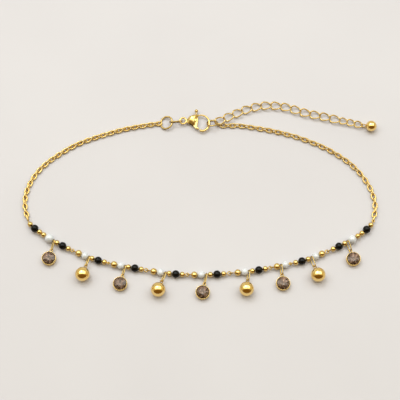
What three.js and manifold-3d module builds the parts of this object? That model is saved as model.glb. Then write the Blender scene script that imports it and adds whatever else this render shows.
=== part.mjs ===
// Charm necklace, lying closed on a flat surface. Millimetres, +Z up, +X to the wearer's left, the front
// of the necklace towards -Y. Nine wire sections carry gold, black and pearl beads and a charm each; two
// fine chains run back to a lobster clasp, and a chain of larger links with a ball on its end hangs on.
import * as THREE from "three";
import { mergeVertices } from "three/addons/utils/BufferGeometryUtils.js";
import { ConvexGeometry } from "three/addons/geometries/ConvexGeometry.js";
import Module from "manifold-3d";

const wasm = await Module();
wasm.setup();

// ---- Driving dimensions -------------------------------------------------------------------------

// The part's origin is below the middle of its box.
const LAYOUT_SHIFT = [-0.823, -0.94, 0];

// Beads by letter: radius, arcs from hole to hole, and the node where they are beads of their own.
const BEADS = {
  g: { radius: 1.05, arcs: 4 },
  G: { radius: 1.3, arcs: 4 },
  b: { radius: 1.5, arcs: 4, node: "black_bead" },
  p: { radius: 1.4, arcs: 4, node: "pearl" },
  P: { radius: 1.7, arcs: 5, node: "pearl" },
};
const BEAD_SIDES = 10;
const WIRE_RADIUS = 0.25;
const BORE_RADIUS = 0.36;
const FIRST_BEAD_AT = 1.65; // length along the front line

// The wire sections from left to right: their beads, the bare wire at each | where the charm's ring
// hangs, and the free length to the next section.
const SECTIONS = [
  { beads: "gbggP|gbg", bare: 0.8, gap: 2.2 },
  { beads: "Gp|gbg", bare: 0.55, gap: 1.55 },
  { beads: "Gp|gbg", bare: 0.55, gap: 2.55 },
  { beads: "Gp|gbg", bare: 0.95, gap: 2.3 },
  { beads: "Gp|gbg", bare: 1.1, gap: 3.2 },
  { beads: "Gp|gbg", bare: 0.55, gap: 2.3 },
  { beads: "G|p", bare: 0.6, gap: 1.75 },
  { beads: "gbg|pG", bare: 0.7, gap: 2.6 },
  { beads: "gbg|Pggbg", bare: 0.6, gap: 0 },
];

// The line through all the wires, from the left chain's end to the right chain's.
const FRONT_LINE = [
  [-68.3, -8.5, 1.4],
  [-67.0, -10.9, 1.52],
  [-63.4, -13.9, 1.7],
  [-59.0, -16.9, 1.85],
  [-52.2, -20.6, 1.55],
  [-42.0, -25.0, 1.52],
  [-32.5, -27.6, 1.52],
  [-25.8, -28.8, 1.52],
  [-17.0, -30.4, 1.52],
  [-8.0, -31.4, 1.52],
  [1.0, -31.6, 1.52],
  [9.0, -31.2, 1.52],
  [20.0, -30.1, 1.52],
  [31.0, -28.0, 1.52],
  [40.8, -25.7, 1.52],
  [48.0, -22.9, 1.52],
  [54.4, -20.0, 1.6],
  [59.6, -17.3, 1.85],
  [64.0, -14.4, 1.7],
  [67.5, -11.1, 1.52],
  [68.9, -8.7, 1.4],
];

const EYE_WIRE = 0.35;
const EYE_OUTER = 1.75; // the loop at a wire's end, smaller where the free length is short
const END_EYE_OUTER = 1.4;
const EYE_SLACK = 0.12; // play between two linked eyes
const END_NECK = 0.3; // bare wire between the outermost beads and their eyes
const EYE_ROLL = { left: 96, right: 6 }; // about the wire, from lying flat

// A charm's ring leans across the wire, rolled from lying flat, and holds the charm's flat loop.
const CHARM_RING = { length: 4.6, width: 2.0, wire: 0.38, play: 0.13, roll: 76 };
const BALL = { radius: 2.8, loop: 2.0, loopHeight: 1.8 };
const BALL_MESH = [12, 7];
const BEZEL = { radius: 2.75, height: 2.1, wall: 0.3, floor: 0.7, edge: 0.4, loop: 1.6, loopHeight: 1.25 };
const LOOP_WIRE = 0.38;
const LOOP_WIDTH = 1.35; // of the charms' oval loops
const LOOP_BITE = 0.16; // how far a loop is let into its charm

// Each charm's kind, and how far it swings from straight forward, in degrees.
const CHARMS = [
  { kind: "crystal", swing: -13 },
  { kind: "ball", swing: -16 },
  { kind: "crystal", swing: -14 },
  { kind: "ball", swing: -20.5 },
  { kind: "crystal", swing: -11.5 },
  { kind: "ball", swing: -8.5 },
  { kind: "crystal", swing: 5 },
  { kind: "ball", swing: 17 },
  { kind: "crystal", swing: 15.5 },
];

// The brilliant cut: rings of corners as radius, height, count and turn in steps.
const CRYSTAL_CUT = [
  { radius: 1.35, height: 2.9, corners: 8, turn: 0 },
  { radius: 2.1, height: 2.58, corners: 8, turn: 0.5 },
  { radius: 2.6, height: 2.3, corners: 16, turn: 0.5 },
  { radius: 2.6, height: 2.2, corners: 16, turn: 0.5 },
  { radius: 0, height: 0.95, corners: 1, turn: 0 },
];

const CHAIN_RADIUS = 0.95;
const CHAIN_HEIGHT = 0.95;
const CHAIN_SIDES = 8;
const CHAIN_STEP = 5.8;
const LEFT_CHAIN = [
  [-68.35, -8.25],
  [-69.6, -3.5],
  [-69.6, 2.2],
  [-67.7, 7.9],
  [-64.5, 13.0],
  [-60.4, 17.0],
  [-54.4, 21.4],
  [-48.3, 24.8],
  [-40.1, 27.9],
  [-31.8, 30.5],
  [-23.5, 32.3],
  [-16.8, 33.37],
];
const RIGHT_CHAIN = [
  [10.2, 32.4],
  [15.7, 32.4],
  [24.8, 31.0],
  [32.6, 29.3],
  [40.0, 27.1],
  [46.5, 24.5],
  [53.1, 21.1],
  [60.1, 16.0],
  [65.6, 9.7],
  [69.0, 2.4],
  [69.7, -3.5],
  [69.0, -8.1],
];

const EXTENDER_LINE = [
  [8.2, 34.2, 1.7],
  [12.2, 36.3, 1.4],
  [19.6, 39.7, 1.15],
  [27.1, 41.4, 1.15],
  [35.1, 40.7, 1.15],
  [43.3, 38.1, 1.15],
  [51.4, 36.2, 1.15],
  [58.9, 34.3, 1.15],
  [65.9, 32.6, 1.15],
];
const EXTENDER = { wire: 0.45, twist: -80, bite: 0.13 }; // the twist from a link's one end to its other
const EXTENDER_LINKS = [
  { count: 13, length: 4.9, width: 3.7 },
  { count: 3, length: 3.9, width: 3.2 },
];
const END_BALL = {
  radius: 2.2,
  loopLength: 2.4,
  loopWidth: 1.6,
  loopHeight: 1.1,
  loopRoll: 50,
  loopBite: 0.3,
  loopPlay: 0.12,
  neckRadius: 0.3,
  neckLength: 1.2,
};

// The clasp lies flat, its own frame centred on the lever's rivet with +X towards the hook.
const CLASP = { at: [-1.9, 34.3], turn: -6, thickness: 2.8 };
const CLASP_OUTLINE = [
  [-3.7, -0.9],
  [-3.55, 0.2],
  [-3.05, 1.2],
  [-2.1, 2.3],
  [-0.6, 2.95],
  [1.15, 3.05],
  [0.15, -3.0],
  [-2.0, -2.05],
];
const CLASP_EDGE = 0.6; // how far the body's edge is rounded over
const CLASP_HOOK = [
  [0.8, 2.5],
  [2.3, 2.8],
  [4.0, 2.4],
  [5.3, 1.2],
  [5.8, -0.6],
  [5.4, -2.5],
  [4.5, -3.7],
  [3.5, -4.2],
  [2.2, -4.05],
];
const HOOK_RADIUS = 0.42;
const TAIL_RING = { at: [-5.0, -0.5], outer: 3.4, wire: 0.72 };
const SLOT_HEIGHT = 0.9;
const SLOT_OUTLINE = [
  [-2.4, -3.4],
  [1.5, -3.4],
  [1.5, 1.7],
  [0.55, 1.7],
  [0.55, 4],
  [-2.4, 4],
];
const RIVET = { radius: 0.4, bore: 0.47, length: 2.2 };
const LEVER_THICKNESS = 0.7;
const LEVER_OUTLINE = [
  [0.25, 3.9],
  [-0.35, 3.9],
  [-0.35, 1.2],
  [-0.95, 0.6],
  [-0.95, -0.6],
  [-0.6, -2.5],
  [0.6, -3.6],
  [1.7, -3.8],
  [1.92, -3.42],
  [1.0, -2.5],
  [0.95, 0.5],
  [0.25, 1.2],
];
const GATE = { thickness: 1.5, outline: [[0.65, -3.6], [1.7, -3.8], [1.92, -3.42], [1.0, -2.75]] };
const KNOB = { at: [-0.05, 4.5], radius: 0.72 };

// The rings around the clasp: centre, turn in plan, roll about their own length, outer size and wire.
const CHAIN_RING = { at: [-13.8, 33.6, 1.12], turn: 90, roll: -18, length: 6.1, width: 5.6, wire: 0.62 };
const CLASP_RING = { at: [-9.9, 33.9, 1.55], turn: 4, roll: -69, length: 5.6, width: 3.1, wire: 0.5 };
const HOOK_RING = { at: [5.0, 33.2, 1.62], turn: 10, roll: -34, length: 4.7, width: 5.0, wire: 0.52 };

const GOLD = { color: 0xd9a83e, roughness: 0.18, metalness: 1.0 };
const FINISH = {
  gold: GOLD,
  black: { color: 0x0b0b0c, roughness: 0.12, metalness: 0.0 },
  pearl: { color: 0xeef1f0, roughness: 0.15, metalness: 0.0 },
  crystal: { color: 0x7c5a48, roughness: 0.05, metalness: 0.0 },
};

// ---- Solids and meshes --------------------------------------------------------------------------

const radians = THREE.MathUtils.degToRad;
const degrees = THREE.MathUtils.radToDeg;
const ALONG = new THREE.Vector3(1, 0, 0);
const UP = new THREE.Vector3(0, 0, 1);

// A closed geometry as a solid that can be joined and cut.
function solidOf(geometry) {
  const bare = geometry.clone();
  bare.deleteAttribute("normal");
  bare.deleteAttribute("uv");
  const merged = mergeVertices(bare, 1e-4);
  return new wasm.Manifold(
    new wasm.Mesh({
      numProp: 3,
      vertProperties: merged.attributes.position.array,
      triVerts: new Uint32Array(merged.index.array),
    }),
  );
}

function geometryOf(solid) {
  const mesh = solid.getMesh();
  const geometry = new THREE.BufferGeometry();
  geometry.setAttribute("position", new THREE.BufferAttribute(mesh.vertProperties, 3));
  geometry.setIndex(new THREE.BufferAttribute(mesh.triVerts, 1));
  geometry.computeVertexNormals();
  return geometry;
}

// All the geometries joined into one.
function joined(geometries) {
  const solids = geometries.map(solidOf);
  return geometryOf(solids.reduce((whole, piece) => whole.add(piece)));
}

function named(name, geometry, finish) {
  const mesh = new THREE.Mesh(geometry, new THREE.MeshStandardMaterial(FINISH[finish]));
  mesh.name = name;
  return mesh;
}

const flat = ([x, y], z = 0) => new THREE.Vector3(x, y, z);
const points = (list, z) => list.map(([x, y, own]) => new THREE.Vector3(x, y, own ?? z));
const smooth = (list, z) => new THREE.CatmullRomCurve3(points(list, z));

// A closed oval link of round wire, lying in XY with its length along X, and twisted about X.
function link(length, width, wire, around = 10, sides = 5, twist = 0) {
  const radius = (width - wire) / 2;
  const geometry = new THREE.TorusGeometry(radius, wire / 2, sides, around);
  const straight = (length - width) / 2;
  const position = geometry.attributes.position;
  for (let i = 0; i < position.count; i++) {
    const x = position.getX(i);
    const middle = Math.atan2(position.getY(i), x);
    const stretched = x + straight * Math.sign(Math.cos(middle));
    const corner = new THREE.Vector3(stretched, position.getY(i), position.getZ(i));
    corner.applyAxisAngle(ALONG, (radians(twist) * stretched) / length);
    position.setXYZ(i, ...corner);
  }
  return geometry;
}

// A ring turned in plan, rolled about its own length and set in its place.
function placedRing({ at, turn, roll, length, width, wire }) {
  return link(length, width, wire, 10, 6)
    .rotateX(radians(roll))
    .rotateZ(radians(turn))
    .translate(at[0], at[1], at[2]);
}

// A plate of the outline, `thickness` thick about the height `middle`.
function plate(outline, thickness, middle, edge = 0) {
  const shape = new THREE.Shape(outline.map(([x, y]) => new THREE.Vector2(x, y)));
  const geometry = new THREE.ExtrudeGeometry(shape, {
    depth: thickness - 2 * edge,
    bevelEnabled: edge > 0,
    bevelThickness: edge,
    bevelSize: edge,
    bevelOffset: -edge,
    bevelSegments: 2,
  });
  return geometry.translate(0, 0, middle - thickness / 2 + edge);
}

// A round bar of `sides` sides along a curve.
function bar(curve, radius, sides, steps) {
  const section = new THREE.Shape();
  for (let i = 0; i < sides; i++) {
    const angle = (i / sides) * 2 * Math.PI;
    const corner = [radius * Math.cos(angle), radius * Math.sin(angle)];
    if (i === 0) section.moveTo(...corner);
    else section.lineTo(...corner);
  }
  section.closePath();
  return new THREE.ExtrudeGeometry(section, { steps, extrudePath: curve, bevelEnabled: false });
}

// ---- The beaded front ---------------------------------------------------------------------------

const frontCurve = smooth(FRONT_LINE);
frontCurve.arcLengthDivisions = 800;
const frontLength = frontCurve.getLength();

// Where the front line is at a length along it: its point, and the directions along, out and up.
function frontAt(length) {
  const share = THREE.MathUtils.clamp(length / frontLength, 0, 1);
  const along = frontCurve.getTangentAt(share);
  const out = new THREE.Vector3().crossVectors(along, UP).normalize();
  const up = new THREE.Vector3().crossVectors(out, along);
  return { point: frontCurve.getPointAt(share), along, out, up };
}

// The outline of a bead that the wire runs through: [length along the wire, radius] pairs.
function beadProfile(middle, radius, hole, arcs) {
  const first = Math.asin(hole / radius);
  const pairs = [];
  for (let i = 0; i <= arcs; i++) {
    const angle = first + ((Math.PI - 2 * first) * i) / arcs;
    pairs.push([middle - radius * Math.cos(angle), radius * Math.sin(angle)]);
  }
  return pairs;
}

// A turned solid bent along the front line.
function bentAlongFront(profile) {
  const outline = profile.map(([length, radius]) => new THREE.Vector2(radius, length));
  const geometry = new THREE.LatheGeometry(outline, BEAD_SIDES);
  const position = geometry.attributes.position;
  for (let i = 0; i < position.count; i++) {
    const { point, out, up } = frontAt(position.getY(i));
    point.addScaledVector(out, position.getX(i)).addScaledVector(up, position.getZ(i));
    position.setXYZ(i, point.x, point.y, point.z);
  }
  return geometry;
}

// The loop at a wire's end, rolled about the wire.
function eye(middle, outer, roll) {
  const { point, along } = frontAt(middle);
  const turn = Math.atan2(along.y, along.x);
  const geometry = link(outer, outer, EYE_WIRE).rotateX(radians(roll));
  return geometry.rotateZ(turn).translate(point.x, point.y, point.z);
}

// Walks along the sections and notes where each bead, charm gap and free length lies.
function layOutFront() {
  let reached = FIRST_BEAD_AT;
  return SECTIONS.map(({ beads, bare, gap }) => {
    const wire = { start: reached, beads: [], gapAfter: gap };
    for (const letter of beads) {
      if (letter === "|") {
        wire.charmAt = reached + bare / 2;
        reached += bare;
      } else {
        const bead = BEADS[letter];
        wire.beads.push({ ...bead, middle: reached + bead.radius });
        reached += 2 * bead.radius;
      }
    }
    wire.end = reached;
    reached += gap;
    return wire;
  });
}

// The eye at one end of a wire: its outer size, and the bare neck between it and the last bead.
function eyeFit(gap) {
  if (!gap) return { outer: END_EYE_OUTER, neck: END_NECK };
  const both = gap + 2 * EYE_WIRE + EYE_SLACK;
  const outer = Math.min(EYE_OUTER, both / 2);
  return { outer, neck: both / 2 - outer };
}

function wireMesh(wire, index, gapBefore) {
  const before = eyeFit(gapBefore);
  const after = eyeFit(wire.gapAfter);
  const start = wire.start - before.neck - EYE_WIRE / 2;
  const end = wire.end + after.neck + EYE_WIRE / 2;
  const profile = [[start, 0], [start, WIRE_RADIUS]];
  for (const bead of wire.beads) {
    if (!bead.node) profile.push(...beadProfile(bead.middle, bead.radius, WIRE_RADIUS, bead.arcs));
  }
  profile.push([end, WIRE_RADIUS], [end, 0]);
  const leftEye = eye(wire.start - before.neck - before.outer / 2, before.outer, EYE_ROLL.left);
  const rightEye = eye(wire.end + after.neck + after.outer / 2, after.outer, EYE_ROLL.right);
  return named(`bead_wire_${index}`, joined([bentAlongFront(profile), leftEye, rightEye]), "gold");
}

// A drilled bead, threaded on the wire.
function drilledBead(name, bead, finish) {
  const profile = beadProfile(0, bead.radius, BORE_RADIUS, bead.arcs);
  const outline = profile.map(([length, radius]) => new THREE.Vector2(radius, length));
  outline.push(outline[0].clone());
  const mesh = named(name, new THREE.LatheGeometry(outline, BEAD_SIDES), finish);
  const { point, along } = frontAt(bead.middle);
  mesh.position.copy(point);
  mesh.quaternion.setFromUnitVectors(new THREE.Vector3(0, 1, 0), along);
  return mesh;
}

// ---- The charms ---------------------------------------------------------------------------------

// In a charm's own frame the wire crosses the origin and the charm hangs towards +X.
const ringEnd = WIRE_RADIUS + CHARM_RING.play;
const ringMiddle = CHARM_RING.length / 2 - CHARM_RING.wire - ringEnd;
const loopStart = ringMiddle + CHARM_RING.length / 2 - CHARM_RING.wire - LOOP_WIRE - CHARM_RING.play;

function charmRing(name, wireHeight, loopHeight) {
  const { length, width, wire, roll } = CHARM_RING;
  const mesh = named(name, link(length, width, wire).rotateX(radians(roll)), "gold");
  const lift = (loopHeight - wireHeight) / loopStart;
  mesh.rotation.y = -Math.atan(lift);
  mesh.position.set(ringMiddle, 0, wireHeight + ringMiddle * lift);
  return mesh;
}

// The ball's loop leans down from its middle: the loop's drop below it, slant distance and reach.
const ballDrop = BALL.radius - BALL.loopHeight;
const ballSlant = BALL.radius + BALL.loop / 2 - LOOP_BITE;
const ballReach = Math.sqrt(ballSlant ** 2 - ballDrop ** 2);
const ballRimHeight = BALL.loopHeight - (((BALL.loop - LOOP_WIRE) / 2) * ballDrop) / ballSlant;

function ballCharm(name) {
  const { radius, loop } = BALL;
  const ball = new THREE.SphereGeometry(radius, ...BALL_MESH).rotateX(Math.PI / 2);
  const ring = link(loop, LOOP_WIDTH, LOOP_WIRE).rotateY(-Math.asin(ballDrop / ballSlant));
  ring.translate(-ballReach, 0, -ballDrop);
  const mesh = named(name, joined([ball, ring]), "gold");
  mesh.position.set(loopStart + loop / 2 + ballReach, 0, radius);
  return mesh;
}

const bezelReach = loopStart + BEZEL.loop - LOOP_BITE + BEZEL.radius;

// A round cup with a flat back, a rim just under the stone's widest edge, and a loop on its side.
function bezelCup(name) {
  const { radius, height, wall, floor, edge, loop, loopHeight } = BEZEL;
  const outline = [
    [0, 0],
    [radius - edge, 0],
    [radius, edge],
    [radius, height - edge / 2],
    [radius - wall / 2, height],
    [radius - wall, height - edge / 2],
    [radius - wall, floor],
    [0, floor],
  ];
  const cup = new THREE.LatheGeometry(outline.map(([r, z]) => new THREE.Vector2(r, z)), 12);
  cup.rotateX(Math.PI / 2);
  const ring = link(loop, LOOP_WIDTH, LOOP_WIRE);
  ring.translate(LOOP_BITE - radius - loop / 2, 0, loopHeight);
  const mesh = named(name, joined([cup, ring]), "gold");
  mesh.position.set(bezelReach, 0, 0);
  return mesh;
}

function crystalStone(name) {
  const corners = [];
  for (const { radius, height, corners: count, turn } of CRYSTAL_CUT) {
    for (let i = 0; i < count; i++) {
      const angle = ((i + turn) / count) * 2 * Math.PI;
      corners.push(new THREE.Vector3(radius * Math.cos(angle), radius * Math.sin(angle), height));
    }
  }
  const mesh = named(name, new ConvexGeometry(corners), "crystal");
  mesh.position.set(bezelReach, 0, 0);
  return mesh;
}

// ---- Chains and clasp ---------------------------------------------------------------------------

function chainTube(name, line) {
  const curve = smooth(line, CHAIN_HEIGHT);
  const steps = Math.round(curve.getLength() / CHAIN_STEP);
  return named(name, bar(curve, CHAIN_RADIUS, CHAIN_SIDES, steps), "gold");
}

const extenderCurve = smooth(EXTENDER_LINE);

// Where each of the extender's links lies: its size, its middle and its turn in plan.
function extenderPlaces() {
  const whole = extenderCurve.getLength();
  const links = EXTENDER_LINKS.flatMap(({ count, ...size }) => Array(count).fill(size));
  let reached = 0;
  return links.map((size, i) => {
    const share = Math.min(reached / whole, 1);
    const along = extenderCurve.getTangentAt(share);
    const next = links[i + 1] ?? size;
    reached += (size.length + next.length) / 2 - 2 * EXTENDER.wire + EXTENDER.bite;
    const turn = degrees(Math.atan2(along.y, along.x));
    return { ...size, at: extenderCurve.getPointAt(share).toArray(), turn };
  });
}

// Twisted curb links, each through its neighbours.
function extenderChain(places) {
  const pieces = places.map(({ at, turn, length, width }) =>
    link(length, width, EXTENDER.wire, 10, 5, EXTENDER.twist).rotateZ(radians(turn)).translate(...at),
  );
  return named("extender_chain", joined(pieces), "gold");
}

// The ball on the extender's end, its loop through the last link.
function endBall(last) {
  const { radius, loopLength, loopWidth, loopHeight, loopRoll, loopBite, loopPlay } = END_BALL;
  const ball = new THREE.SphereGeometry(radius, ...BALL_MESH).rotateX(Math.PI / 2);
  const loopAt = last.length / 2 - EXTENDER.wire - LOOP_WIRE - loopPlay + loopLength / 2;
  const reach = radius + loopLength / 2 - loopBite;
  const ring = link(loopLength, loopWidth, LOOP_WIRE).rotateX(radians(loopRoll));
  ring.translate(-reach, 0, loopHeight - radius);
  const { neckRadius, neckLength } = END_BALL;
  const neck = new THREE.CylinderGeometry(neckRadius, neckRadius, neckLength, 8).rotateZ(Math.PI / 2);
  neck.translate(neckLength / 2 - radius - loopPlay, 0, loopHeight - radius);
  const mesh = named("end_ball", joined([ball, ring, neck]), "gold");
  const along = ALONG.clone().applyAxisAngle(UP, radians(last.turn));
  mesh.position.set(last.at[0], last.at[1], radius).addScaledVector(along, loopAt + reach);
  mesh.rotation.z = radians(last.turn);
  return mesh;
}

function claspBody() {
  const middle = CLASP.thickness / 2;
  const cheeks = solidOf(plate(CLASP_OUTLINE, CLASP.thickness, middle, CLASP_EDGE));
  const slot = solidOf(plate(SLOT_OUTLINE, SLOT_HEIGHT, middle));
  const hook = bar(smooth(CLASP_HOOK, middle), HOOK_RADIUS, 6, 13);
  const tail = link(TAIL_RING.outer, TAIL_RING.outer, TAIL_RING.wire, 12, 6);
  tail.translate(TAIL_RING.at[0], TAIL_RING.at[1], middle);
  const rivet = new THREE.CylinderGeometry(RIVET.radius, RIVET.radius, RIVET.length, 12);
  rivet.rotateX(Math.PI / 2).translate(0, 0, middle);
  const slotted = cheeks.subtract(slot);
  const solid = [hook, tail, rivet].reduce((whole, piece) => whole.add(solidOf(piece)), slotted);
  return named("clasp_body", geometryOf(solid), "gold");
}

function claspLever() {
  const middle = CLASP.thickness / 2;
  const knob = new THREE.SphereGeometry(KNOB.radius, 10, 6).translate(KNOB.at[0], KNOB.at[1], middle);
  const arm = plate(LEVER_OUTLINE, LEVER_THICKNESS, middle);
  const gate = plate(GATE.outline, GATE.thickness, middle);
  const bore = new THREE.CylinderGeometry(RIVET.bore, RIVET.bore, CLASP.thickness, 12);
  bore.rotateX(Math.PI / 2).translate(0, 0, middle);
  const solid = solidOf(arm).add(solidOf(gate)).add(solidOf(knob)).subtract(solidOf(bore));
  return named("clasp_lever", geometryOf(solid), "gold");
}

// ---- The necklace -------------------------------------------------------------------------------

const necklace = new THREE.Group();
necklace.position.set(...LAYOUT_SHIFT);

const counts = { black_bead: 0, pearl: 0, crystal: 0, ball: 0 };
const wires = layOutFront();
wires.forEach((wire, i) => {
  const gapBefore = i ? wires[i - 1].gapAfter : 0;
  necklace.add(wireMesh(wire, i + 1, gapBefore));
  for (const bead of wire.beads.filter(({ node }) => node)) {
    counts[bead.node] += 1;
    const finish = bead.node === "pearl" ? "pearl" : "black";
    necklace.add(drilledBead(`${bead.node}_${counts[bead.node]}`, bead, finish));
  }

  const { kind, swing } = CHARMS[i];
  const { point } = frontAt(wire.charmAt);
  const charm = new THREE.Group();
  charm.position.set(point.x, point.y, 0);
  charm.rotation.z = radians(swing - 90);
  counts[kind] += 1;
  if (kind === "ball") {
    charm.add(charmRing(`charm_ring_${i + 1}`, point.z, ballRimHeight));
    charm.add(ballCharm(`ball_charm_${counts.ball}`));
  } else {
    charm.add(charmRing(`charm_ring_${i + 1}`, point.z, BEZEL.loopHeight));
    charm.add(bezelCup(`bezel_${counts.crystal}`));
    charm.add(crystalStone(`crystal_${counts.crystal}`));
  }
  necklace.add(charm);
});

necklace.add(chainTube("chain_left", LEFT_CHAIN));
necklace.add(chainTube("chain_right", RIGHT_CHAIN));
necklace.add(named("chain_ring", placedRing(CHAIN_RING), "gold"));
necklace.add(named("clasp_ring", placedRing(CLASP_RING), "gold"));
necklace.add(named("hook_ring", placedRing(HOOK_RING), "gold"));
const extender = extenderPlaces();
necklace.add(extenderChain(extender));
necklace.add(endBall(extender.at(-1)));

const clasp = new THREE.Group();
clasp.position.copy(flat(CLASP.at));
clasp.rotation.z = radians(CLASP.turn);
clasp.add(claspBody());
clasp.add(claspLever());
necklace.add(clasp);

export default necklace;
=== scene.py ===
import math

import bmesh
import bpy
from mathutils import Matrix, Vector


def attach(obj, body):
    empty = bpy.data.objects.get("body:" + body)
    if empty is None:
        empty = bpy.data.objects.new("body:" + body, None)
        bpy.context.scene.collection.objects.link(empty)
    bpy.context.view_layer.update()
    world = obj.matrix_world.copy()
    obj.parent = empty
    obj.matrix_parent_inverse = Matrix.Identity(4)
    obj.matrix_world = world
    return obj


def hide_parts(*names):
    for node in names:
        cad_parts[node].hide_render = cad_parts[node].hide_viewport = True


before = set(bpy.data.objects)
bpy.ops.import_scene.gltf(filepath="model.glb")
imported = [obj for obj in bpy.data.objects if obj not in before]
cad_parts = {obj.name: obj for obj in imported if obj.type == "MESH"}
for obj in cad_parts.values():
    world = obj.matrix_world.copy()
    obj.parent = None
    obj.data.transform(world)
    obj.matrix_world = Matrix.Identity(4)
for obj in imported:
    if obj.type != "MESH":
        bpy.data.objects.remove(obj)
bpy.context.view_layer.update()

# ---- Camera, light and table ----------------------------------------------------------------------
# Not part of the necklace: a long lens looking steeply down, a broad soft light over the back of the
# table that leaves the front dark, a small strong one at its left, and a plain pale table top.

VIEW_CENTRE = Vector((-0.000823, -0.00094, 0))  # the origin of the necklace's layout, in metres
CAMERA_ELEVATION = math.radians(69)
CAMERA_DISTANCE = 0.4
SOFTBOXES = {
    "overhead_box": {
        "middle": (0, 0.395, 1.2),
        "target": (0, 0.395, 0),
        "size": (2.86, 1.21),
        "brightness": 2.2,
        "colour": (0.95, 1.0, 1.0),
    },
    "key_box": {
        "middle": (-0.3, 0.6, 1.1),
        "target": (0, 0, 0),
        "size": (0.34, 0.34),
        "brightness": 7,
        "colour": (0.97, 1.0, 1.0),
    },
}
ROOM_FRONT = (0.19, 0.1, 0.02, 1)
ROOM_SIDES = (0.7, 0.6, 0.33, 1)
ROOM_BACK = (0.72, 0.7, 0.6, 1)
FRONT_TO_SIDES = (-0.46, -0.12)  # where one colour gives way to the next: -1 is front, 1 is back
SIDES_TO_BACK = (0.1, 0.7)

camera_away = Vector((0, -math.cos(CAMERA_ELEVATION), math.sin(CAMERA_ELEVATION)))
bpy.ops.object.camera_add(location=VIEW_CENTRE + camera_away * CAMERA_DISTANCE)
camera = bpy.context.object
camera.name = "camera"
camera.rotation_euler = camera_away.to_track_quat("Z", "Y").to_euler()
camera.data.lens = 90
camera.data.sensor_width = 36
camera.data.clip_start = 0.005
bpy.context.scene.camera = camera
bpy.context.scene.view_settings.view_transform = "Standard"


def softbox(name, middle, target, size, brightness, colour):
    """A rectangular light, `size` wide and deep, that faces its target and isn't seen itself."""
    bpy.ops.object.light_add(type="AREA", location=middle)
    light = bpy.context.object
    light.name = name
    light.rotation_euler = (Vector(middle) - Vector(target)).to_track_quat("Z", "Y").to_euler()
    light.data.shape = "RECTANGLE"
    light.data.size, light.data.size_y = size
    light.data.energy = brightness * math.pi * size[0] * size[1]
    light.data.color = colour
    light.visible_camera = False


for name, box in SOFTBOXES.items():
    softbox(name, **box)


class Reading:
    """A value read from a socket: sums and products of readings add Math nodes to its tree."""

    def __init__(self, socket):
        self.socket = socket

    @property
    def tree(self):
        return self.socket.id_data

    def combined(self, operation, first, second):
        maths = self.tree.nodes.new("ShaderNodeMath")
        maths.operation = operation
        for entry, value in zip(maths.inputs, (first, second)):
            if isinstance(value, Reading):
                self.tree.links.new(value.socket, entry)
            else:
                entry.default_value = value
        return Reading(maths.outputs[0])

    def __add__(self, other):
        return self.combined("ADD", self, other)

    def __mul__(self, other):
        return self.combined("MULTIPLY", self, other)

    __radd__ = __add__
    __rmul__ = __mul__


class Finish:
    """A material of nodes; its surface is a Principled shader with the settings given."""

    def __init__(self, name):
        self.material = bpy.data.materials.new(name)
        self.material.use_nodes = True
        self.tree = self.material.node_tree
        self.tree.nodes.clear()
        self.at = self.node("ShaderNodeTexCoord", output="Object")

    def node(self, kind, sockets=None, output=0, **settings):
        """Adds a node, its settings first, then its sockets' values or links; returns one output."""
        made = self.tree.nodes.new(kind)
        for setting, value in settings.items():
            setattr(made, setting, value)
        for name, value in (sockets or {}).items():
            entry = next(s for s in made.inputs if name in (s.identifier, s.name))
            if isinstance(value, Reading):
                self.tree.links.new(value.socket, entry)
            else:
                entry.default_value = value
        if not made.outputs:
            return None
        if isinstance(output, int):
            return Reading(made.outputs[output])
        return Reading(next(s for s in made.outputs if output in (s.identifier, s.name)))

    def shifted(self, distance):
        """The piece's own coordinates moved along X, so that like finishes differ."""
        return self.node("ShaderNodeMapping", {"Vector": self.at, "Location": (distance, 0, 0)})

    def mark(self, attribute):
        """A value that the mesh carries."""
        return self.node("ShaderNodeAttribute", output="Fac", attribute_name=attribute)

    def noise(self, per_metre, detail=2.0, roughness=0.5, at=None):
        grain = {"Scale": per_metre, "Detail": detail, "Roughness": roughness}
        return self.node("ShaderNodeTexNoise", {"Vector": at or self.at, **grain})

    def ranged(self, value, low, high, to_low=0.0, to_high=1.0):
        ends = {"From Min": low, "From Max": high, "To Min": to_low, "To Max": to_high}
        return self.node("ShaderNodeMapRange", {"Value": value, **ends})

    def blend(self, share, first, second):
        colours = {"Factor_Float": share, "A_Color": first, "B_Color": second}
        return self.node("ShaderNodeMix", colours, "Result_Color", data_type="RGBA")

    def relief(self, height, strength, distance):
        sockets = {"Height": height, "Strength": strength, "Distance": distance}
        return self.node("ShaderNodeBump", sockets)

    def surface(self, **sockets):
        named = {name.replace("_", " "): value for name, value in sockets.items()}
        shader = self.node("ShaderNodeBsdfPrincipled", named)
        self.node("ShaderNodeOutputMaterial", {"Surface": shader})
        return self.material


class Studio(Finish):
    """The room round the table: warm and bright above, behind and at the sides, brown in front."""

    def __init__(self):
        self.world = bpy.data.worlds.new("studio")
        self.world.use_nodes = True
        self.tree = self.world.node_tree
        self.tree.nodes.clear()
        toward = self.node("ShaderNodeTexCoord", output="Generated")
        behind = self.node("ShaderNodeSeparateXYZ", {"Vector": toward}, "Y")
        sides = self.blend(self.ranged(behind, *FRONT_TO_SIDES), ROOM_FRONT, ROOM_SIDES)
        colour = self.blend(self.ranged(behind, *SIDES_TO_BACK), sides, ROOM_BACK)
        shader = self.node("ShaderNodeBackground", {"Color": colour, "Strength": 1.0})
        self.node("ShaderNodeOutputWorld", {"Surface": shader})


bpy.context.scene.world = Studio().world


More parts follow.
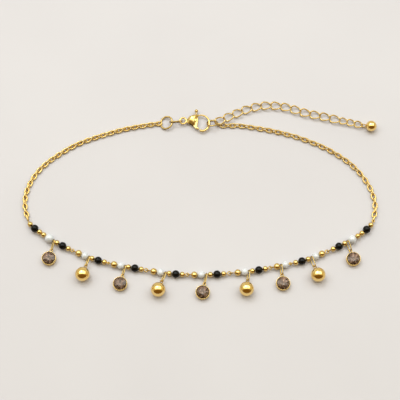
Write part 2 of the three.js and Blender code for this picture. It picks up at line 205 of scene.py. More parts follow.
def table_finish():
    """Smooth pale card, a little uneven in tone."""
    card = Finish("table_card")
    tone = card.ranged(card.noise(14, 3), 0.3, 0.7)
    colour = card.blend(tone, (0.567, 0.553, 0.595, 1), (0.588, 0.575, 0.617, 1))
    grain = card.relief(card.noise(2600, 3), 0.05, 0.0001)
    return card.surface(Base_Color=colour, Roughness=0.6, Specular_IOR_Level=0.2, Normal=grain)


bpy.ops.mesh.primitive_plane_add(size=4)
table = bpy.context.object
table.name = "table_top"
table.data.materials.append(table_finish())

# ---- Bead wires -----------------------------------------------------------------------------------
# Nine eye pins of gold plated brass wire: each runs through its row of beads, its ends are turned
# into round eyes, and neighbours are linked eye through eye. The gold beads are threaded on the
# wire and belong to the same piece.

# All lengths below are in millimetres, in the necklace's own layout.
LAYOUT_SHIFT = (-0.823, -0.94, 0)
TO_FRAME = Matrix.Scale(0.001, 4) @ Matrix.Translation(LAYOUT_SHIFT)

WIRE_RADIUS = 0.2
HOLE_RADIUS = 0.29
HOLE_EDGE = 0.05  # how far the rim of a bead's hole is rounded off
BEAD_RADIUS = {"g": 1.05, "G": 1.3, "b": 1.5, "p": 1.4, "P": 1.7}
LARGE_BEAD = 1.3  # beads over this radius are modelled with more faces
FIRST_BEAD_AT = 1.65  # from the left end of the front line
TOUCHING = 1e-4  # places closer than this are taken as the same

# The beads, the bare wire at | for the charm's ring, and the free length to the next section.
SECTIONS = [
    ("gbggP|gbg", 0.8, 2.2),
    ("Gp|gbg", 0.55, 1.55),
    ("Gp|gbg", 0.55, 2.55),
    ("Gp|gbg", 0.95, 2.3),
    ("Gp|gbg", 1.1, 3.2),
    ("Gp|gbg", 0.55, 2.3),
    ("G|p", 0.6, 1.75),
    ("gbg|pG", 0.7, 2.6),
    ("gbg|Pggbg", 0.6, 0),
]
FRONT_LINE = [  # the line through all the wires, from left to right
    (-68.3, -8.5, 1.4),
    (-67.0, -10.9, 1.52),
    (-63.4, -13.9, 1.7),
    (-59.0, -16.9, 1.85),
    (-52.2, -20.6, 1.55),
    (-42.0, -25.0, 1.52),
    (-32.5, -27.6, 1.52),
    (-25.8, -28.8, 1.52),
    (-17.0, -30.4, 1.52),
    (-8.0, -31.4, 1.52),
    (1.0, -31.6, 1.52),
    (9.0, -31.2, 1.52),
    (20.0, -30.1, 1.52),
    (31.0, -28.0, 1.52),
    (40.8, -25.7, 1.52),
    (48.0, -22.9, 1.52),
    (54.4, -20.0, 1.6),
    (59.6, -17.3, 1.85),
    (64.0, -14.4, 1.7),
    (67.5, -11.1, 1.52),
    (68.9, -8.7, 1.4),
]
EYE_WIRE = 0.4
EYE_OUTER = 1.75
END_EYE_OUTER = 1.4
EYE_SLACK = 0.12  # the play between two eyes
END_NECK = 0.3
EYE_ROLL = {"left": 96, "right": 6}  # degrees from lying flat


class Line:
    """A smooth centripetal curve through points, read by length."""

    STEPS = 48  # between two of its points
    REACH = 0.05  # to either side, when its direction is taken

    def __init__(self, points):
        points = [Vector(p) for p in points]
        ends = [2 * points[0] - points[1], *points, 2 * points[-1] - points[-2]]
        self.spots = [points[0]]
        for four in zip(ends, ends[1:], ends[2:], ends[3:]):
            self.spots += [self.between(four, i / self.STEPS) for i in range(1, self.STEPS + 1)]
        self.reached = [0.0]
        for first, second in zip(self.spots, self.spots[1:]):
            self.reached.append(self.reached[-1] + (second - first).length)
        self.length = self.reached[-1]

    @staticmethod
    def between(four, share):
        """A point of the stretch between the second and third of four points."""
        before, start, end, after = four
        came, here, goes = (math.sqrt((b - a).length) for a, b in zip(four, four[1:]))
        leave = (start - before) / came - (end - before) / (came + here) + (end - start) / here
        arrive = (end - start) / here - (after - start) / (here + goes) + (after - end) / goes
        leave, arrive = leave * here, arrive * here
        square = 3 * (end - start) - 2 * leave - arrive
        cube = 2 * (start - end) + leave + arrive
        return start + leave * share + square * share**2 + cube * share**3

    def at(self, length):
        """The point at a length along the line."""
        length = min(max(length, 0), self.length)
        after = next(i for i, reached in enumerate(self.reached) if reached >= length)
        first = max(after - 1, 0)
        span = self.reached[after] - self.reached[first]
        share = (length - self.reached[first]) / span if span else 0
        return self.spots[first].lerp(self.spots[after], share)

    def along(self, length):
        """The direction of the line there."""
        return (self.at(length + self.REACH) - self.at(length - self.REACH)).normalized()


def place(at=(0, 0, 0), turn=0.0, pitch=0.0, roll=0.0):
    """A matrix: rolled about X, pitched about Y, turned about Z, all in degrees, then moved."""
    matrix = Matrix.Identity(4)
    for angle, axis in ((roll, "X"), (pitch, "Y"), (turn, "Z")):
        matrix = Matrix.Rotation(math.radians(angle), 4, axis) @ matrix
    return Matrix.Translation(at) @ matrix


def heading(along):
    """Which way a direction points in plan, in degrees from X."""
    return math.degrees(math.atan2(along.y, along.x))


def on_line(line, length):
    """A matrix that lays X along the line there, with Z as near upright as it can be."""
    along = line.along(length)
    pitch = -math.degrees(math.asin(along.z))
    return place(line.at(length), heading(along), pitch)


def added(primitive, **settings):
    """A new primitive, selected alone, with its place in its mesh."""
    bpy.ops.object.select_all(action="DESELECT")
    primitive(**settings)
    bpy.ops.object.transform_apply(location=True, rotation=True, scale=False)
    return bpy.context.object


def pick(piece):
    """Selects the piece alone."""
    bpy.ops.object.select_all(action="DESELECT")
    piece.select_set(True)
    bpy.context.view_layer.objects.active = piece


def edit(piece, kind, wanted):
    """Opens the piece's mesh with only the wanted vertices, edges or faces selected."""
    pick(piece)
    bpy.ops.object.mode_set(mode="EDIT")
    bpy.ops.mesh.select_mode(type=kind)
    bpy.ops.mesh.select_all(action="DESELECT")
    mesh = bmesh.from_edit_mesh(piece.data)
    for element in {"VERT": mesh.verts, "EDGE": mesh.edges, "FACE": mesh.faces}[kind]:
        if wanted(element):
            element.select_set(True)
    bmesh.update_edit_mesh(piece.data)


def close(piece, sharp=None):
    """Leaves the mesh and shades it smooth, with edges over `sharp` degrees left crisp."""
    bpy.ops.object.mode_set(mode="OBJECT")
    pick(piece)
    if sharp is None:
        bpy.ops.object.shade_smooth()
    else:
        bpy.ops.object.shade_smooth_by_angle(angle=math.radians(sharp))


def copied(model, matrix, name="copy"):
    """A copy of the model with a mesh of its own, set in its place."""
    piece = bpy.data.objects.new(name, model.data.copy())
    bpy.context.scene.collection.objects.link(piece)
    piece.data.transform(matrix)
    return piece


def joined(pieces, name):
    """All the pieces as one object."""
    bpy.ops.object.select_all(action="DESELECT")
    for piece in pieces:
        piece.select_set(True)
    bpy.context.view_layer.objects.active = pieces[0]
    if len(pieces) > 1:
        bpy.ops.object.join()
    pieces[0].name = name
    return pieces[0]


def fitted(piece, material, slot, *nodes, body="necklace"):
    """Gives a finished piece its material and puts it in the place of its nodes."""
    piece.data.materials.clear()
    piece.data.materials.append(material)
    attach(piece, body)
    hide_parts(*nodes)
    return piece


def wire_through(points, radius, taper=None):
    """A round wire through the points, its ends closed; taper gives its thickness along it."""
    wire = added(bpy.ops.curve.primitive_nurbs_path_add)
    wire.data.splines.clear()
    spline = wire.data.splines.new("POLY")
    spline.points.add(len(points) - 1)
    for i, (point, spot) in enumerate(zip(spline.points, points)):
        point.co = (*spot, 1)
        point.radius = taper(i / (len(points) - 1)) if taper else 1.0
    wire.data.bevel_depth = radius
    wire.data.bevel_resolution = 3
    wire.data.use_fill_caps = True
    bpy.ops.object.convert(target="MESH")
    close(wire, sharp=50)
    return wire


def thin(piece):
    """Marks a piece of fine wire, which the gold finish paints deeper in colour: painted shade."""
    mark = piece.data.attributes.new("thin", "FLOAT", "POINT")
    for entry in mark.data:
        entry.value = 1.0
    return piece


def ring_model(length, width, wire, around=40, sides=12, twist=0):
    """An oval link of round wire, lying flat with its length along X, twisted about X."""
    if length < width:
        ring = ring_model(width, length, wire, around, sides)
        ring.data.transform(place(turn=90))
        return ring
    ring = added(
        bpy.ops.mesh.primitive_torus_add,
        major_segments=around,
        minor_segments=sides,
        major_radius=(width - wire) / 2,
        minor_radius=wire / 2,
        generate_uvs=False,
    )
    straight = (length - width) / 2
    if straight:
        for side in (1, -1):
            edit(ring, "VERT", lambda vertex: vertex.co.x * side > TOUCHING)
            bpy.ops.transform.translate(value=(straight * side, 0, 0))
            bpy.ops.object.mode_set(mode="OBJECT")
        edit(ring, "EDGE", lambda edge: abs(edge.verts[0].co.x - edge.verts[1].co.x) > straight)
        bpy.ops.mesh.subdivide(number_cuts=4)
    if twist:
        close(ring)
        turning = ring.modifiers.new("twist", "SIMPLE_DEFORM")
        turning.deform_method = "TWIST"
        turning.deform_axis = "X"
        turning.angle = math.radians(twist)
        bpy.ops.object.modifier_apply(modifier="twist")
    close(ring)
    return ring


def drilled_model(radius):
    """A round bead drilled through along X, the hole's rims softened."""
    around = 40 if radius > LARGE_BEAD else 32
    bead = added(
        bpy.ops.mesh.primitive_uv_sphere_add,
        segments=around,
        ring_count=around // 2,
        radius=radius,
        rotation=(0, math.pi / 2, 0),
    )
    rim = math.sqrt(radius**2 - HOLE_RADIUS**2)
    for side in (1, -1):
        edit(bead, "FACE", lambda face: True)
        bpy.ops.mesh.bisect(plane_co=(rim * side, 0, 0), plane_no=(side, 0, 0), clear_outer=True)
        bpy.ops.object.mode_set(mode="OBJECT")
    edit(bead, "EDGE", lambda edge: edge.is_boundary)
    bpy.ops.mesh.bridge_edge_loops()
    bpy.ops.object.mode_set(mode="OBJECT")
    edit(bead, "EDGE", lambda edge: all(abs(abs(v.co.x) - rim) < TOUCHING for v in edge.verts))
    bpy.ops.mesh.bevel(offset=HOLE_EDGE, segments=2, profile=0.5)
    close(bead, sharp=50)
    return bead


def gold_finish(name, roughness, scratches=1.0, tone=1.0):
    """Polished gold plate with hairlines and faint tumbling marks, with painted shade: deeper in
    colour on fine wire, and darker all over by tone.
    """
    gold = Finish(name)
    # tone darkens the whole plate of a piece: painted shade, so the same gold looks darker on some
    # pieces.
    deep, light, thin_wire_painted_shade = (
        (red * tone, green * tone, blue * tone, 1)
        for red, green, blue in ((0.89, 0.61, 0.2), (0.93, 0.69, 0.28), (0.62, 0.42, 0.13))
    )
    cloud = gold.ranged(gold.noise(420, 3), 0.35, 0.65)
    stretched = {"Vector": gold.at, "Rotation": (0.4, 0.7, 0.5), "Scale": (1, 9, 9)}
    hairline = gold.node("ShaderNodeMapping", stretched)
    lines = gold.ranged(gold.noise(3200, 2, 0.6, hairline), 0.58, 0.72)
    tumbled = gold.noise(5200, 2)
    # Painted shade: fine wire marked thin gets the deeper gold.
    colour = gold.blend(gold.mark("thin"), gold.blend(cloud, deep, light), thin_wire_painted_shade)
    shine = roughness + cloud * 0.03 + lines * (0.08 * scratches)
    marks = gold.relief(tumbled * 0.35 + lines * (0.5 * scratches), 0.12, 0.00002)
    return gold.surface(Base_Color=colour, Metallic=1.0, Roughness=shine, Normal=marks)


front = Line(FRONT_LINE)
# Its tone is painted shade: the same gold plate, darker.
wire_gold = gold_finish("wire_gold", roughness=0.2, tone=0.8)
bead_models = {letter: drilled_model(radius) for letter, radius in BEAD_RADIUS.items()}


def eye_fit(gap):
    """The eye beside a free length: its outer size, and the neck from the last bead to it."""
    if not gap:
        return END_EYE_OUTER, END_NECK
    both = gap + 2 * EYE_WIRE + EYE_SLACK
    outer = min(EYE_OUTER, both / 2)
    return outer, both / 2 - outer


def bead_rows():
    """Each section's start, end, charm place and beads, as lengths along the front line."""
    rows = []
    reached = FIRST_BEAD_AT
    gap_before = 0
    for letters, bare, gap in SECTIONS:
        row = {"start": reached, "beads": [], "before": eye_fit(gap_before), "after": eye_fit(gap)}
        for letter in letters:
            if letter == "|":
                row["charm"] = reached + bare / 2
                reached += bare
            else:
                row["beads"].append((letter, reached + BEAD_RADIUS[letter]))
                reached += 2 * BEAD_RADIUS[letter]
        row["end"] = reached
        rows.append(row)
        reached += gap
        gap_before = gap
    return rows


rows = bead_rows()


def bead_wire(index, row):
    """One eye pin with its gold beads."""
    (first_outer, first_neck), (last_outer, last_neck) = row["before"], row["after"]
    start = row["start"] - first_neck - EYE_WIRE / 2
    end = row["end"] + last_neck + EYE_WIRE / 2
    steps = math.ceil(end - start)  # about one for each millimetre
    spots = [front.at(start + (end - start) * i / steps) for i in range(steps + 1)]
    parts = [thin(wire_through(spots, WIRE_RADIUS))]
    parts[0].data.transform(TO_FRAME)
    eyes = [
        (row["start"] - first_neck - first_outer / 2, first_outer, EYE_ROLL["left"]),
        (row["end"] + last_neck + last_outer / 2, last_outer, EYE_ROLL["right"]),
    ]
    for middle, outer, roll in eyes:
        eye = thin(ring_model(outer, outer, EYE_WIRE, around=28, sides=10))
        eye.data.transform(TO_FRAME @ on_line(front, middle) @ place(roll=roll))
        parts.append(eye)
    for letter, middle in row["beads"]:
        if letter in "gG":
            parts.append(copied(bead_models[letter], TO_FRAME @ on_line(front, middle)))
    wire = joined(parts, f"eye_pin_{index}")
    return fitted(wire, wire_gold, "gold", f"bead_wire_{index}")


for index, row in enumerate(rows, 1):
    bead_wire(index, row)

# ---- Black beads ----------------------------------------------------------------------------------
# Ten round beads of polished black glass with a hole through them, threaded on the wires between
# two gold beads each. Nothing is glued, so they can turn on the wire.


def black_glass(name, seed):
    """Black glass with a deep polish and the faintest brown clouds."""
    glass = Finish(name)
    moved = glass.shifted(seed)
    cloud = glass.ranged(glass.noise(900, 2, 0.5, moved), 0.4, 0.7)
    colour = glass.blend(cloud, (0.002, 0.002, 0.0022, 1), (0.007, 0.006, 0.005, 1))
    wear = glass.ranged(glass.noise(4000, 3, 0.5, moved), 0.55, 0.75)
    return glass.surface(Base_Color=colour, Roughness=0.07 + wear * 0.05, Specular_IOR_Level=0.17)


def threaded(letters, names, materials, slot):
    """Copies of the drilled beads of these letters, each in its place on the front line."""
    spots = [spot for row in rows for spot in row["beads"] if spot[0] in letters]
    for count, (letter, middle) in enumerate(spots, 1):
        at = TO_FRAME @ on_line(front, middle)
        bead = copied(bead_models[letter], at, f"{names}_bead_{count}")
        fitted(bead, materials[count % len(materials)], slot, f"{names}_{count}")


black_materials = [black_glass(f"black_glass_{i}", seed=i * 0.37) for i in range(3)]
threaded("b", "black_bead", black_materials, "black")

# ---- Pearls ---------------------------------------------------------------------------------------
# Nine round imitation pearls: a core dipped in pearl lacquer, cool white with a faint blue cast,
# drilled and threaded like the black beads. The first and the last are larger.


def pearl_lacquer(name, seed):
    """Pearl lacquer: cool white, satin under a clear gloss, bluer in places."""
    pearl = Finish(name)
    moved = pearl.shifted(seed)
    cast = pearl.ranged(pearl.noise(700, 2, 0.5, moved), 0.35, 0.65)
    colour = pearl.blend(cast, (0.62, 0.66, 0.72, 1), (0.68, 0.70, 0.74, 1))
    orient = pearl.relief(pearl.noise(3000, 2, 0.5, moved), 0.05, 0.00003)
    return pearl.surface(
        Base_Color=colour,
        Metallic=0.08,
        Roughness=0.2 + cast * 0.05,
        Coat_Weight=0.4,
        Coat_Roughness=0.05,
        Normal=orient,
    )


pearl_materials = [pearl_lacquer(f"pearl_lacquer_{i}", seed=i * 0.53) for i in range(3)]
threaded("pP", "pearl", pearl_materials, "pearl")

# ---- Charm rings ----------------------------------------------------------------------------------
# Nine oval jump rings of round gold plated wire. Each stands across the bare wire in its section
# and holds the charm's flat loop at its other end.

CHARM_RING = {"length": 4.6, "width": 2.0, "wire": 0.44, "play": 0.07}
RING_ROLLS = [58, 58, 60, 58, 66, 60, 64, 58, 58]  # degrees from lying flat
CHARM_WIRE = 0.25  # the radius that a ring leaves free round the section's wire
BALL = {"radius": 2.8, "loop": 2.0, "height": 1.8}
CUP = {"radius": 2.75, "height": 2.0, "loop": 1.6, "loop_height": 1.25}
LOOP_WIRE = 0.38
LOOP_WIDTH = 1.35
LOOP_BITE = 0.16  # how far a loop is let into its ball or cup
SWINGS = [-13, -16, -14, -20.5, -11.5, -8.5, 5, 17, 15.5]  # degrees from straight forward

ring_inside = CHARM_RING["length"] / 2 - CHARM_RING["wire"]
ring_middle = ring_inside - CHARM_WIRE - CHARM_RING["play"]
loop_start = ring_middle + ring_inside - LOOP_WIRE - CHARM_RING["play"]
ball_drop = BALL["radius"] - BALL["height"]
ball_slant = BALL["radius"] + BALL["loop"] / 2 - LOOP_BITE
ball_reach = math.sqrt(ball_slant**2 - ball_drop**2)
ball_rim = BALL["height"] - (BALL["loop"] - LOOP_WIRE) / 2 * ball_drop / ball_slant


def charm_place(index):
    """Where a charm hangs: X points from the wire to the charm."""
    spot = front.at(rows[index - 1]["charm"])
    return TO_FRAME @ place((spot.x, spot.y, 0), SWINGS[index - 1] - 90)


# Its tone is painted shade: the same gold plate, much darker.
ring_gold = gold_finish("ring_gold", roughness=0.28, tone=0.56)
charm_ring_model = ring_model(CHARM_RING["length"], CHARM_RING["width"], CHARM_RING["wire"])
for index, row in enumerate(rows, 1):
    wire_height = front.at(row["charm"]).z
    loop_height = ball_rim if index % 2 == 0 else CUP["loop_height"]
    lift = (loop_height - wire_height) / loop_start
    pitch = -math.degrees(math.atan(lift))
    middle = (ring_middle, 0, wire_height + ring_middle * lift)
    standing = place(middle, pitch=pitch, roll=RING_ROLLS[index - 1])
    ring = copied(charm_ring_model, charm_place(index) @ standing, f"charm_jump_ring_{index}")
    fitted(ring, ring_gold, "gold", f"charm_ring_{index}")

# ---- Ball charms ----------------------------------------------------------------------------------
# Four round balls of gold plated brass, highly polished, one on every second charm ring. A wire
# loop is soldered to each, a little below its middle.

ball_gold = gold_finish("ball_gold", roughness=0.13, scratches=0.6)


def ball_model(radius, around=64):
    """A plain round ball about the origin."""
    ball = added(
        bpy.ops.mesh.primitive_uv_sphere_add, segments=around, ring_count=around // 2, radius=radius
    )
    close(ball)
    return ball


def ball_charm_model():
    """The ball round its own centre, its loop towards -X and leaning down."""
    ball = ball_model(BALL["radius"])
    loop = thin(ring_model(BALL["loop"], LOOP_WIDTH, LOOP_WIRE, around=32))
    lean = -math.degrees(math.asin(ball_drop / ball_slant))
    loop.data.transform(place((-ball_reach, 0, -ball_drop), pitch=lean))
    return joined([ball, loop], "ball_charm_model")


ball_charm = ball_charm_model()
ball_at = place((loop_start + BALL["loop"] / 2 + ball_reach, 0, BALL["radius"]))
for count in range(1, 5):
    charm = copied(ball_charm, charm_place(2 * count) @ ball_at, f"gold_ball_{count}")
    fitted(charm, ball_gold, "gold", f"ball_charm_{count}")

# ---- Bezel cups and crystals ----------------------------------------------------------------------
# Five round stones of smoky brown glass, brilliant cut, with metal foil on their backs. Each is
# cemented in a gold plated cup with a flat back, its widest edge just over the cup's rim, and a
# loop is soldered to the cup's side.

CUP_WALL = 0.22
CUP_FLOOR = 0.6
CUP_EDGE = 0.35  # how far the edge of the cup's back is rounded off
CUP_LIP = CUP_WALL * 0.42  # and the edges of its rim
STONE = {
    "table": (1.35, 2.9),  # radius and height, as in the other pairs
    "girdle": 2.54,
    "girdle_top": 2.3,
    "girdle_foot": 2.14,
    "waist": 2.0,  # to the flats of the ring of corners where the stars end
    "back_ring": (0.75, 1.23),
    "culet": (0.06, 0.95),
}
NEARLY_FLAT = math.radians(1.5)  # faces that meet at less than this are one facet
FACETS_ROUND = 16
FACET_PAINTED_LIGHT = (0.1, 0.9, 0.4, 0.0, 0.65)  # painted light and shade on the foil, dark to bright, on each back facet in turn
STONE_TURN = 9  # degrees from one stone to the next


def cup_model():
    """A cup with its back's middle at the origin and its loop towards -X."""
    height = CUP["height"]
    cup = added(
        bpy.ops.mesh.primitive_cylinder_add,
        vertices=64,
        radius=CUP["radius"],
        depth=height,
        location=(0, 0, height / 2),
    )
    edit(cup, "FACE", lambda face: face.normal.z > 0.9)
    bpy.ops.mesh.inset(thickness=CUP_WALL)
    bpy.ops.mesh.extrude_region_move(TRANSFORM_OT_translate={"value": (0, 0, CUP_FLOOR - height)})
    bpy.ops.object.mode_set(mode="OBJECT")
    edit(cup, "EDGE", lambda edge: all(v.co.z < TOUCHING for v in edge.verts))
    bpy.ops.mesh.bevel(offset=CUP_EDGE, segments=5, profile=0.5)
    bpy.ops.object.mode_set(mode="OBJECT")
    edit(cup, "EDGE", lambda edge: all(v.co.z > height - TOUCHING for v in edge.verts))
    bpy.ops.mesh.bevel(offset=CUP_LIP, segments=3, profile=0.5)
    close(cup, sharp=40)
    loop = thin(ring_model(CUP["loop"], LOOP_WIDTH, LOOP_WIRE, around=32))
    loop.data.transform(place((LOOP_BITE - CUP["radius"] - CUP["loop"] / 2, 0, CUP["loop_height"])))
    return joined([cup, loop], "cup_model")


def corner_circle(count, radius, height, turn=0.0):
    """A ring of a stone's corners, turned by a share of the step between them."""
    step = 2 * math.pi / count
    return added(
        bpy.ops.mesh.primitive_circle_add,
        vertices=count,
        radius=radius,
        location=(0, 0, height),
        rotation=(0, 0, turn * step),
    )


def stone_model():
    """A brilliant: a table, 8 stars, 8 kites and 16 facets above the girdle, and 32 below it."""
    table_radius, table_height = STONE["table"]
    girdle, waist = STONE["girdle"], STONE["waist"]
    top, foot = STONE["girdle_top"], STONE["girdle_foot"]
    slope = (table_height - top) / (girdle - table_radius)
    waist_height = table_height - (waist - table_radius) * slope
    circles = [
        corner_circle(8, table_radius, table_height),
        corner_circle(8, waist / math.cos(math.pi / 8), waist_height, 0.5),
        corner_circle(16, girdle, top),
        corner_circle(16, girdle, foot),
        corner_circle(8, *STONE["back_ring"], 0.5),
        corner_circle(8, *STONE["culet"]),
    ]
    stone = joined(circles, "stone_model")
    edit(stone, "VERT", lambda vertex: True)
    bpy.ops.mesh.convex_hull()
    bpy.ops.mesh.dissolve_limited(angle_limit=NEARLY_FLAT)
    bpy.ops.mesh.normals_make_consistent(inside=False)
    bpy.ops.object.mode_set(mode="OBJECT")
    # Marks the girdle, where the glass gets painted shade.
    rim = stone.data.attributes.new("rim", "FLOAT", "POINT")
    for vertex, entry in zip(stone.data.vertices, rim.data):
        entry.value = 1.0 if vertex.co.xy.length > (girdle + waist) / 2 else 0.0
    # Each back facet gets its share of painted light, from dark to bright.
    painted_facet_light = stone.data.attributes.new("painted_facet_light", "FLOAT", "FACE")
    for face, entry in zip(stone.data.polygons, painted_facet_light.data):
        turns = math.atan2(face.center.y, face.center.x) / math.tau
        sector = int(turns * FACETS_ROUND + FACETS_ROUND)
        entry.value = FACET_PAINTED_LIGHT[sector % len(FACET_PAINTED_LIGHT)]
    return stone


def smoky_glass(name, seed):
    """Smoky brown glass, clear and hard, with a little cloud in it, and painted shade that darkens
    it at its rim.
    """
    glass = Finish(name)
    cloud = glass.ranged(glass.noise(500, 2, 0.5, glass.shifted(seed)), 0.35, 0.65)
    body = glass.blend(cloud, (0.72, 0.56, 0.48, 1), (0.82, 0.67, 0.59, 1))
    # Painted shade: the glass turns dark brown towards the girdle.
    colour = glass.blend(glass.ranged(glass.mark("rim"), 0.15, 0.8), body, (0.1, 0.06, 0.04, 1))
    polish = 0.015 + cloud * 0.01
    return glass.surface(Base_Color=colour, Roughness=polish, IOR=1.56, Transmission_Weight=1.0)


def foil_finish():
    """Satin metal foil on the stones' backs, with painted light and shade making it brighter and
    darker from facet to facet.
    """
    foil = Finish("stone_foil")
    cloud = foil.ranged(foil.noise(700, 2), 0.35, 0.65)
    # Painted light and shade: the foil's colour runs from dark to bright by facet.
    colour = foil.blend(foil.mark("painted_facet_light"), (0.36, 0.28, 0.23, 1), (0.84, 0.74, 0.65, 1))
    return foil.surface(Base_Color=colour, Metallic=1.0, Roughness=0.3 + cloud * 0.1)


# Its tone is painted shade: the same gold plate, darker.
cup_gold = gold_finish("cup_gold", roughness=0.2, tone=0.85)
foil = foil_finish()
cup = cup_model()
stone = stone_model()
cup_at = place((loop_start + CUP["loop"] - LOOP_BITE + CUP["radius"], 0, 0))
for count in range(1, 6):
    at = charm_place(2 * count - 1) @ cup_at
    setting = copied(cup, at, f"bezel_cup_{count}")
    fitted(setting, cup_gold, "gold", f"bezel_{count}")
    gem = copied(stone, at @ place(turn=count * STONE_TURN), f"smoky_stone_{count}")
    glass = smoky_glass(f"smoky_glass_{count}", seed=count * 0.41)
    fitted(gem, glass, "crystal", f"crystal_{count}")
    gem.data.materials.append(foil)
    for face in gem.data.polygons:
        face.material_index = 1 if face.normal.z < -0.1 else 0

# ---- Side chains ----------------------------------------------------------------------------------
# Two fine cable chains of soldered oval brass links, gold plated, lying flat and on edge by turns.
# The left one ends in the large jump ring, the right one in the ring on the clasp's hook, and each
# holds the outer eye of a wire section.

# A link's length, width and wire, then the rolls and heights of one on edge and of a flat one.
SIDE_LINKS = {
    "left": {"size": (2.97, 2.05, 0.62), "rolls": (76, 14), "heights": (1.04, 0.84)},
    "right": {"size": (3.05, 2.1, 0.56), "rolls": (82, 8), "heights": (1.08, 0.76)},
}
LINK_PLAY = 0.04
ROLL_WOBBLE = 9  # degrees at the most
TURN_WOBBLE = 4
LEFT_CHAIN = [
    (-69.6, -3.5),
    (-69.6, 2.2),
    (-67.7, 7.9),
    (-64.5, 13.0),
    (-60.4, 17.0),
    (-54.4, 21.4),
    (-48.3, 24.8),
    (-40.1, 27.9),
    (-31.8, 30.5),
    (-23.5, 32.3),
    (-15.73, 33.48),
]
RIGHT_CHAIN = [
    (6.55, 33.0),
    (10.2, 32.4),
    (15.7, 32.4),
    (24.8, 31.0),
    (32.6, 29.3),
    (40.0, 27.1),
    (46.5, 24.5),
    (53.1, 21.1),
    (60.1, 16.0),
    (65.6, 9.7),
    (69.0, 2.4),
    (69.7, -3.5),
]

# Its tone is painted shade: the same gold plate, darker.
chain_gold = gold_finish("chain_gold", roughness=0.22, scratches=1.3, tone=0.74)


def wobble(index, size):
    """A small steady unevenness from link to link."""
    return size * math.sin(index * 2.4 + 1.3) * math.cos(index * 1.7)


def side_chain(side, line):
    """Links end in end along the line, leaning two ways by turns."""
    rolls, heights = SIDE_LINKS[side]["rolls"], SIDE_LINKS[side]["heights"]
    length, width, wire = SIDE_LINKS[side]["size"]
    model = ring_model(length, width, wire, around=24, sides=10)
    inner = length - wire
    pitch = inner - wire - LINK_PLAY
    count = round((line.length - inner) / pitch) + 1
    pitch = (line.length - inner) / (count - 1)
    links = []
    for i in range(count):
        middle = inner / 2 + pitch * i
        at = line.at(middle)
        turn = heading(line.along(middle)) + wobble(i + 7, TURN_WOBBLE)
        roll = rolls[i % 2] + wobble(i, ROLL_WOBBLE)
        laid = place((at.x, at.y, heights[i % 2]), turn, roll=roll)
        links.append(copied(model, TO_FRAME @ laid))
    bpy.data.objects.remove(model)
    return fitted(joined(links, f"side_chain_{side}"), chain_gold, "gold", f"chain_{side}")


left_eye = front.at(rows[0]["start"] - END_NECK - END_EYE_OUTER / 2)
right_eye = front.at(rows[-1]["end"] + END_NECK + END_EYE_OUTER / 2)
side_chain("left", Line([(left_eye.x, left_eye.y, 0), *[(x, y, 0) for x, y in LEFT_CHAIN]]))
side_chain("right", Line([*[(x, y, 0) for x, y in RIGHT_CHAIN], (right_eye.x, right_eye.y, 0)]))

# ---- Rings at the clasp ---------------------------------------------------------------------------
# Three plain gold plated jump rings: a large one on the left chain, an oval one from it to the
# clasp's tail, and one in the clasp's hook that carries the right chain and the extender.

# Each ring's middle, its turn and roll, and its length, width and wire.
CLASP_RINGS = {
    "chain_ring": {"at": (-13.8, 33.6, 1.12), "turn": 90, "roll": -18, "size": (6.1, 5.6, 0.74)},
    "clasp_ring": {"at": (-9.9, 33.9, 1.55), "turn": 4, "roll": -69, "size": (5.6, 3.1, 0.5)},
    "hook_ring": {"at": (5.0, 33.2, 1.62), "turn": 10, "roll": -34, "size": (4.7, 5.0, 0.6)},
}

for node, ring in CLASP_RINGS.items():
    jump_ring = ring_model(*ring["size"], around=56, sides=14)
    jump_ring.data.transform(TO_FRAME @ place(ring["at"], ring["turn"], roll=ring["roll"]))
    jump_ring.name = f"jump_{node}"
    fitted(jump_ring, ring_gold, "gold", node)

# ---- Clasp body -----------------------------------------------------------------------------------
# A lobster clasp cast in brass and gold plated: a teardrop body with domed faces, slotted for the
# lever, a round hook that curves back to the body's tip, a ring at its tail, and a rivet.

CLASP = {"at": (-1.9, 34.3, 0), "turn": -6, "thickness": 2.8}
BODY_OUTLINE = [
    (-3.62, -0.45),
    (-3.3, 0.75),
    (-2.3, 2.1),
    (-0.9, 2.8),
    (0.4, 3.05),
    (1.08, 2.85),
    (1.0, 1.9),
    (0.62, 0.0),
    (0.28, -2.0),
    (0.08, -2.85),
    (-0.5, -2.82),
    (-2.1, -1.95),
    (-3.35, -1.1),
]
BODY_CENTRE = (-1.1, 1.0)
BODY_DOME = [  # the dome's shares of the outline's width and of the half height, up to its top
    (0.985, 0.15),
    (0.95, 0.2),
    (0.88, 0.28),
    (0.64, 0.62),
    (0.42, 0.93),
    (0.28, 0.99),
]
HOOK = [
    (0.8, 2.5),
    (2.3, 2.8),
    (4.0, 2.4),
    (5.3, 1.2),
    (5.8, -0.6),
    (5.4, -2.5),
    (4.5, -3.7),
    (3.5, -4.2),
    (2.2, -4.05),
]
HOOK_RADIUS = 0.42
HOOK_ROOT = 0.66  # the hook's thickness there, as a share of HOOK_RADIUS
HOOK_GAIN = 0.6  # how much it gains by its tip
HOOK_STEPS = 48
TAIL_RING = {"at": (-5.0, -0.5), "outer": 3.4, "wire": 0.72}
SLOT = {
    "height": 0.9,
    "outline": [(-2.4, -3.4), (1.5, -3.4), (1.5, 2.1), (0.55, 2.1), (0.55, 4), (-2.4, 4)],
}
RIVET = {"radius": 0.4, "length": 2.2}

clasp_place = TO_FRAME @ place(CLASP["at"], CLASP["turn"])
clasp_middle = CLASP["thickness"] / 2
# Its tone is painted shade: the same gold plate, darker.
clasp_gold = gold_finish("clasp_gold", roughness=0.19, tone=0.82)


